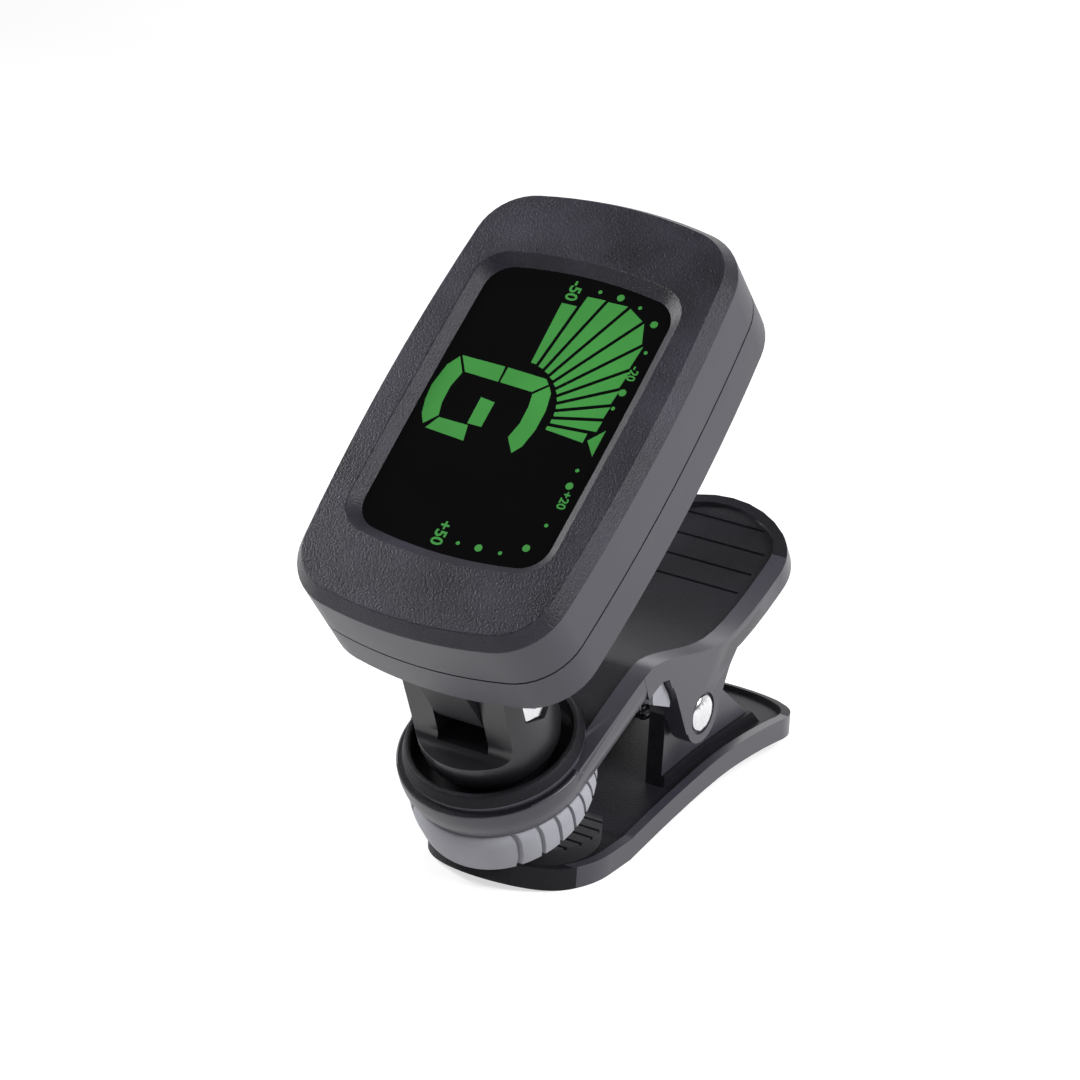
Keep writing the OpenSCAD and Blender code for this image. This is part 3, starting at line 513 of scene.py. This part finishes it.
def number_mark(text, across, along, height_mm, out):
    """A small number, with its head towards +X."""
    bpy.ops.object.text_add()
    number = bpy.context.object
    number.data.body = text
    number.data.size = height_mm * MM / 0.7
    number.data.align_x = "CENTER"
    number.data.align_y = "CENTER"
    number.data.extrude = sizes().mark_height * MM / 2
    number.data.offset = height_mm * MM * 0.035
    turn = Matrix((-LENGTH, ACROSS, NORMAL)).transposed().to_4x4()
    number.matrix_world = Matrix.Translation(on_head(across, along, out)) @ turn
    bpy.ops.object.convert(target="MESH")
    number = bpy.context.object
    apply_all(number)
    return number


# ---------- operators ----------
class TUNER_OT_housing(bpy.types.Operator):
    """Front and rear shells, with rounded edges and a fine parting groove."""

    bl_idname = "tuner.housing"
    bl_label = "Housing"

    def execute(self, context):
        # ABS moulded in a spark-eroded tool: an even charcoal grain that breaks up every highlight
        eroded = moulded_plastic("spark_eroded_abs", colours().face, 0.42, 0.22, 0.08, 0.5, 0.3)
        # The same ABS from a finer tool: satin, with soft highlights
        satin = moulded_plastic("satin_moulded_abs", colours().housing, 0.4, 0.3, 0.008, 0.06)
        front = softened(
            "front_shell", "front_housing", "head", eroded, sizes().housing_edge,
            segments=3,
        )
        front.data.materials.append(satin)
        top = reach_out("front_shell")
        for face in front.data.polygons:
            below = top - (face.center - HEAD_BACK).dot(NORMAL)
            sideways = abs(face.normal.dot(NORMAL)) < 0.3
            face.material_index = 1 if sideways and below > 1.2 * MM else 0
        rear = softened(
            "rear_shell", "rear_housing", "head", satin, sizes().housing_edge, segments=3
        )
        # The tilt knuckle is the shell's own plastic; it gets the turret's darker colour and a duller
        # finish as painted shade under the head
        rear.data.materials.append(
            moulded_plastic("knuckle_painted_shade_abs", colours().turret, 0.5, 0.4, 0.01, 0.06, 0.3)
        )
        for face in rear.data.polygons:
            face.material_index = 1 if (face.center - HEAD_BACK).dot(NORMAL) < -0.2 * MM else 0
        return {"FINISHED"}


class TUNER_OT_display(bpy.types.Operator):
    """The window and the marks that show through it."""

    bl_idname = "tuner.display"
    bl_label = "Display"

    def execute(self, context):
        window = polished_window("smoked_polished_acrylic", colours().window)
        softened("lens_window", "window_pane", "head", window, 0.08)
        lit = lit_display_ink("backlit_display_green", colours().mark)
        out = reach_out("lens_window")
        groups = {
            "display_note": [flat_mark("segment", outline, out) for outline in NOTE_SEGMENTS],
            "display_fan": [fan_wedge(i, out) for i in range(FAN_WEDGES)],
            "display_pointer": [
                flat_mark("pointer", [(8.85, -0.85), (10.2, -2.45), (10.2, 0.75)], out)
            ],
            "display_scale": [
                flat_mark(
                    "dot",
                    [(x + r * math.cos(a * math.pi / 8), y + r * math.sin(a * math.pi / 8))
                     for a in range(16)],
                    out,
                )
                for x, y, r in SCALE_DOTS
            ],
            "display_numbers": [number_mark(*number, out) for number in SCALE_NUMBERS],
        }
        for name, parts in groups.items():
            finish_piece(joined(name, parts), "head", lit)
        return {"FINISHED"}


class TUNER_OT_controls(bpy.types.Operator):
    """Battery cover, power button and the screws that close the housing."""

    bl_idname = "tuner.controls"
    bl_label = "Controls"

    def execute(self, context):
        satin = moulded_plastic("satin_moulded_cover", shade(colours().housing, 0.85), 0.45, 0.3, 0.012)
        softened("battery_cover", "battery_door", "battery_cover", satin, 0.25)
        keycap = moulded_rubber("silicone_keycap", linear("#303035"))
        softened("power_button", "power_key", "power_button", keycap, 0.4, segments=3)
        black = plated_metal("blackened_screw_steel", linear("#5a5a60"), 0.3)
        softened("housing_screws", "case_screws", "head", black, 0.08)
        return {"FINISHED"}


class TUNER_OT_turret(bpy.types.Operator):
    """The turret with its tilt screw, nut and swivel fasteners."""

    bl_idname = "tuner.turret"
    bl_label = "Turret"

    def execute(self, context):
        dark = moulded_plastic("satin_moulded_acetal", colours().turret, 0.33, 0.4, 0.01, 0.08)
        softened("turret", "turret_body", "turret", dark, 0.3, segments=3)
        bright = plated_metal("bright_nickel_plate", colours().bright, 0.16)
        softened("tilt_nut", "tilt_hex_nut", "turret", bright, 0.18)
        softened("tilt_screw", "tilt_cross_screw", "turret", bright, 0.15)
        softened("swivel_screw", "swivel_cross_screw", "turret", bright, 0.12)
        softened("swivel_washer", "swivel_plain_washer", "turret", bright, 0.08)
        slick = moulded_plastic("die_cut_friction_film", linear("#18181a"), 0.5, 0.5, 0.01)
        paint("friction_ring", slick)
        return {"FINISHED"}


# Widths of the smooth rims round the textured parts, and how far below the pin the tray starts
UPPER_RIM = 2.1 * MM
DISH_RIM = 0.8 * MM
LOWER_RIM = 1.2 * MM
TRAY_DEPTH = 4 * MM


class TUNER_OT_jaws(bpy.types.Operator):
    """Both jaws, their rims rounded, with the thumb plate's textured panel and painted shade on the lower
    jaw's grained floor.
    """

    bl_idname = "tuner.jaws"
    bl_label = "Jaws"

    def execute(self, context):
        smooth = moulded_plastic("satin_moulded_nylon", colours().jaw, 0.36, 0.5, 0.01, 0.08)
        # Spark-eroded panel inside the smooth rim: darker, and duller than the rim. On the lower jaw's
        # floor the same dark colour is painted shade over the floor's own grain
        panel = moulded_plastic("spark_eroded_panel_and_floor_shade", colours().panel, 0.55, 0.22, 0.05, 0.4, 0.16)
        upper = softened(
            "upper_jaw", "upper_jaw_plate", "upper_jaw", smooth, sizes().jaw_edge, segments=3
        )
        upper.data.materials.append(panel)
        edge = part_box("upper_jaw")[1].x
        half = edge - UPPER_RIM
        for face in upper.data.polygons:
            from_axis = face.center - COLLAR
            from_axis -= from_axis.dot(SWIVEL) * SWIVEL
            in_dish = from_axis.length < edge - DISH_RIM
            inside = abs(face.center.x) < half and face.normal.z > 0.4
            face.material_index = 1 if in_dish or inside else 0
        lower = softened(
            "lower_jaw", "lower_jaw_plate", "lower_jaw", smooth, sizes().jaw_edge, segments=3
        )
        lower.data.materials.append(panel)
        # The lower jaw's floor inside the rim takes the panel's dark colour as painted shade where the
        # arms shade it; its grain is real
        for face in lower.data.polygons:
            inside = abs(face.center.x) < edge - LOWER_RIM
            below = face.center.z < PIN.z - TRAY_DEPTH
            face.material_index = 1 if inside and below and face.normal.z > -0.3 else 0
        return {"FINISHED"}


class TUNER_OT_pads(bpy.types.Operator):
    """The ribbed rubber pads of both jaws."""

    bl_idname = "tuner.pads"
    bl_label = "Rubber pads"

    def execute(self, context):
        rubber = moulded_rubber("moulded_grey_rubber", colours().pad)
        softened("upper_pad", "upper_grip_pad", "upper_jaw", rubber, sizes().small_edge)
        black_rubber = moulded_rubber("moulded_black_rubber", linear("#1c1c20"))
        softened("lower_pad", "lower_grip_pad", "lower_jaw", black_rubber, 0.1)
        return {"FINISHED"}


LEG_LENGTH = 12 * MM


class TUNER_OT_hinge(bpy.types.Operator):
    """The hinge's riveted pin and the torsion spring round it."""

    bl_idname = "tuner.hinge"
    bl_label = "Hinge"

    def execute(self, context):
        bright = plated_metal("bright_rivet_steel", colours().bright, 0.14)
        softened("hinge_pin", "hinge_rivet", "lower_jaw", bright, 0.12)
        steel = drawn_wire("drawn_spring_steel", linear("#b4b6bb"))
        low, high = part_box("torsion_spring")
        wire = sizes().wire * MM
        half = high.x - wire / 2
        radius = PIN.y - low.y - wire / 2
        # The coil starts at the top on one side and ends at the bottom on the other
        turns = sizes().coil_turns + 0.5
        coil = self.wire_coil("spring_coil", half, radius, wire, turns, 2 * half)
        lower_leg = self.leg("spring_lower_leg", Vector((-half, 0, -radius)), 114, wire)
        finish_piece(joined("return_spring", [coil, lower_leg]), "lower_jaw", steel,
                     ["torsion_spring"])
        upper_leg = self.leg("spring_upper_leg", Vector((half, 0, radius)), 75, wire)
        finish_piece(joined("return_spring_leg", [upper_leg]), "upper_jaw", steel)
        return {"FINISHED"}

    def wire_coil(self, name, start, radius, wire, turns, length):
        """A coil along X round the hinge pin, wound over the front from start towards -X."""
        bpy.ops.mesh.primitive_circle_add(
            vertices=12, radius=wire / 2, fill_type="NOTHING", location=PIN,
            rotation=(math.radians(90), 0, 0),
        )
        ring = bpy.context.object
        bpy.ops.object.transform_apply(location=False, rotation=True, scale=False)
        ring.name = name
        bpy.ops.object.mode_set(mode="EDIT")
        bpy.ops.mesh.select_all(action="SELECT")
        bpy.ops.transform.translate(value=(start, 0, radius))
        bpy.ops.object.mode_set(mode="OBJECT")
        screw = ring.modifiers.new("coil", "SCREW")
        screw.axis = "X"
        screw.angle = 2 * math.pi * turns
        screw.screw_offset = -length
        screw.steps = int(24 * turns)
        screw.render_steps = screw.steps
        apply_all(ring)
        bpy.ops.object.mode_set(mode="EDIT")
        bpy.ops.mesh.select_all(action="SELECT")
        bpy.ops.mesh.select_non_manifold()
        bpy.ops.mesh.fill()
        bpy.ops.object.mode_set(mode="OBJECT")
        return ring

    def leg(self, name, start, lean, wire):
        """A straight leg of wire, leaning that many degrees back from upright, with rounded ends."""
        direction = Vector((0, math.sin(math.radians(lean)), math.cos(math.radians(lean))))
        long = LEG_LENGTH
        bpy.ops.mesh.primitive_cylinder_add(
            vertices=16, radius=wire / 2, depth=long, location=PIN + start + direction * long / 2,
            rotation=(-math.radians(lean), 0, 0),
        )
        made = bpy.context.object
        made.name = name
        bevel = made.modifiers.new("ends", "BEVEL")
        bevel.width = wire / 6
        bevel.segments = 2
        bevel.limit_method = "ANGLE"
        bevel.angle_limit = math.radians(50)
        apply_all(made)
        return made


class TUNER_OT_inner_parts(bpy.types.Operator):
    """Finishes of the parts inside the housing."""

    bl_idname = "tuner.inner_parts"
    bl_label = "Inner parts"

    def execute(self, context):
        contact = plated_metal("nickel_plated_contact_strip", linear("#d6cfb4"), 0.25)
        finishes = {
            "display_gasket": moulded_rubber("closed_cell_foam", linear("#222224")),
            "lcd_panel": polished_window("display_glass_laminate", linear("#15181a")),
            "light_guide": moulded_plastic("milky_light_guide", linear("#dfeee2"), 0.3, 1.5, 0.005, 0.03),
            "zebra_strip": moulded_rubber("layered_connector_rubber", linear("#c98698")),
            "circuit_board": solder_mask("green_solder_mask", linear("#1d6236")),
            "driver_chip": moulded_plastic("moulded_epoxy_package", linear("#1b1b1e"), 0.5, 0.15, 0.01),
            "quartz_crystal": plated_metal("pressed_crystal_can", linear("#c6c9ce"), 0.25),
            "tact_switch": moulded_plastic("moulded_switch_body", linear("#26262a"), 0.45, 0.3, 0.01),
            "switch_plunger": moulded_plastic("moulded_plunger", linear("#d6d6d2"), 0.4, 0.5, 0.01),
            "contact_positive": contact,
            "contact_negative": contact,
            "cell_holder": moulded_plastic("moulded_cell_holder", linear("#2a2a2e"), 0.45, 0.4, 0.01),
            "coin_cell": plated_metal("drawn_cell_can", linear("#c9cbcf"), 0.28, 1.2),
            "piezo_disc": plated_metal("rolled_piezo_brass", linear("#c9a24f"), 0.3, 0.8),
        }
        for node, material in finishes.items():
            paint(node, material)
        return {"FINISHED"}


CAMERA_RIGHT = Vector((0.8492, 0.5255, 0.0515))
CAMERA_FORWARD = Vector((-0.4709, 0.7979, -0.3761))
CAMERA_FROM_PIN = Vector((204.74, -366.03, 187.31)) * MM


class TUNER_OT_stage(bpy.types.Operator):
    """Floor, lamps, world and camera."""

    bl_idname = "tuner.stage"
    bl_label = "Stage"

    def execute(self, context):
        scene = context.scene
        self.floor()
        self.world(scene)
        middle = (cad_box[0] + cad_box[1]) / 2
        # Softboxes as (name, direction from the object, distance, width, watts)
        for name, direction, distance, width, watts in (
            ("key_softbox", (0.8, 0.0, 0.6), 0.55, 0.28, 3.2),
            ("back_softbox", (-0.35, 0.9, 0.5), 0.6, 0.35, 0.55),
            ("fill_softbox", (-0.85, -0.2, 0.45), 0.2, 0.1, 0.4),
        ):
            lamp = bpy.data.lights.new(name, "AREA")
            lamp.shape = "SQUARE"
            lamp.size = width
            lamp.energy = watts
            holder = bpy.data.objects.new(name, lamp)
            scene.collection.objects.link(holder)
            holder.location = middle + Vector(direction).normalized() * distance
            holder.rotation_euler = (middle - holder.location).to_track_quat("-Z", "Y").to_euler()
        self.camera(scene)
        scene.view_settings.view_transform = "Standard"
        return {"FINISHED"}

    def floor(self):
        """A pale floor that keeps the object's shadow and shows white to the eye."""
        bpy.ops.mesh.primitive_plane_add(size=6, location=(0, 0, -0.02 * MM))
        ground = bpy.context.object
        ground.name = "floor"
        material, tree, shader, coords = begin("pale_paper_floor")
        tree.nodes.remove(shader)
        paper = add(tree, "TexNoise", {"Scale": per_metre(40)}, {"Vector": (coords, "Object")})
        tint = tones(tree, (paper, "Fac"), (0.54, 0.54, 0.54, 1), (0.56, 0.56, 0.56, 1))
        diffuse = add(tree, "BsdfDiffuse", links={"Color": (tint, "Color")})
        rays = add(tree, "LightPath")
        seen = self.any_ray(tree, rays)
        glow = add(tree, "Emission", {"Strength": 0.62})
        both = add(tree, "AddShader", links={0: (diffuse, "BSDF"), 1: (glow, "Emission")})
        mix = add(tree, "MixShader", links={0: (seen, "Value"), 1: (diffuse, "BSDF"), 2: (both, "Shader")})
        tree.links.new(mix.outputs["Shader"], tree.nodes["Material Output"].inputs["Surface"])
        ground.data.materials.append(material)

    def any_ray(self, tree, rays):
        """1 for a camera, glossy or transmission ray, and 0 for the rest."""
        first = add(
            tree, "Math", links={0: (rays, "Is Camera Ray"), 1: (rays, "Is Glossy Ray")},
            operation="MAXIMUM",
        )
        return add(
            tree, "Math", links={0: (first, "Value"), 1: (rays, "Is Transmission Ray")},
            operation="MAXIMUM",
        )

    def world(self, scene):
        """White to the eye all round, with a softer even light on the object."""
        world = bpy.data.worlds.new("white_studio")
        scene.world = world
        world.use_nodes = True
        tree = world.node_tree
        rays = add(tree, "LightPath")
        # What a surface mirrors: a white sweep below and behind, and a dim room in front and above
        towards_sweep = add(
            tree, "VectorMath", {1: (-0.35, 0.75, -0.55)},
            {0: (add(tree, "TexCoord"), "Generated")}, operation="DOT_PRODUCT",
        )
        mirrored = add(
            tree, "MapRange", {"From Min": -0.25, "From Max": 0.3, "To Min": 0.1, "To Max": 0.9},
            {"Value": (towards_sweep, "Value")}, interpolation_type="SMOOTHSTEP",
        )
        light = add(
            tree, "MapRange", {"To Min": 0.24},
            {"Value": (rays, "Is Glossy Ray"), "To Max": (mirrored, "Result")},
        )
        seen = add(
            tree, "Math", links={0: (rays, "Is Camera Ray"), 1: (rays, "Is Transmission Ray")},
            operation="MAXIMUM",
        )
        strength = add(
            tree, "MapRange", {"To Max": 1.0}, {"Value": (seen, "Value"), "To Min": (light, "Result")}
        )
        background = tree.nodes["Background"]
        background.inputs["Color"].default_value = (1, 1, 1, 1)
        tree.links.new(strength.outputs["Result"], background.inputs["Strength"])

    def camera(self, scene):
        """A long lens, a little above the object and to its right, rolled by a few degrees."""
        lens = bpy.data.cameras.new("studio_camera")
        lens.lens = 139
        lens.sensor_width = 36
        lens.clip_start = 0.01
        lens.clip_end = 20
        holder = bpy.data.objects.new("studio_camera", lens)
        scene.collection.objects.link(holder)
        right = CAMERA_RIGHT.normalized()
        forward = CAMERA_FORWARD.normalized()
        up = right.cross(forward)
        turn = Matrix((right, up, -forward)).transposed().to_4x4()
        holder.matrix_world = Matrix.Translation(PIN + CAMERA_FROM_PIN) @ turn
        scene.camera = holder


class TUNER_PT_panel(bpy.types.Panel):
    """Lists the tuner's pieces in the sidebar."""

    bl_label = "Tuner"
    bl_idname = "TUNER_PT_panel"
    bl_space_type = "VIEW_3D"
    bl_region_type = "UI"
    bl_category = "Tuner"

    def draw(self, context):
        for group in (context.scene.tuner_sizes, context.scene.tuner_colours):
            for name in group.__annotations__:
                self.layout.prop(group, name)
        for operator in PIECES:
            self.layout.operator(operator.bl_idname)


PIECES = [
    TUNER_OT_housing, TUNER_OT_display, TUNER_OT_controls, TUNER_OT_turret, TUNER_OT_jaws,
    TUNER_OT_pads, TUNER_OT_hinge, TUNER_OT_inner_parts, TUNER_OT_stage,
]
CLASSES = [TunerSizes, TunerColours, *PIECES, TUNER_PT_panel]


def register():
    """Registers the add-on's classes and its settings on the scene."""
    for cls in CLASSES:
        bpy.utils.register_class(cls)
    bpy.types.Scene.tuner_sizes = bpy.props.PointerProperty(type=TunerSizes)
    bpy.types.Scene.tuner_colours = bpy.props.PointerProperty(type=TunerColours)


def unregister():
    """Takes them away again."""
    del bpy.types.Scene.tuner_colours
    del bpy.types.Scene.tuner_sizes
    for cls in reversed(CLASSES):
        bpy.utils.unregister_class(cls)


def main():
    """Runs every operator in turn."""
    register()
    for operator in PIECES:
        group, name = operator.bl_idname.split(".")
        getattr(getattr(bpy.ops, group), name)()


if __name__ == "__main__":
    main()
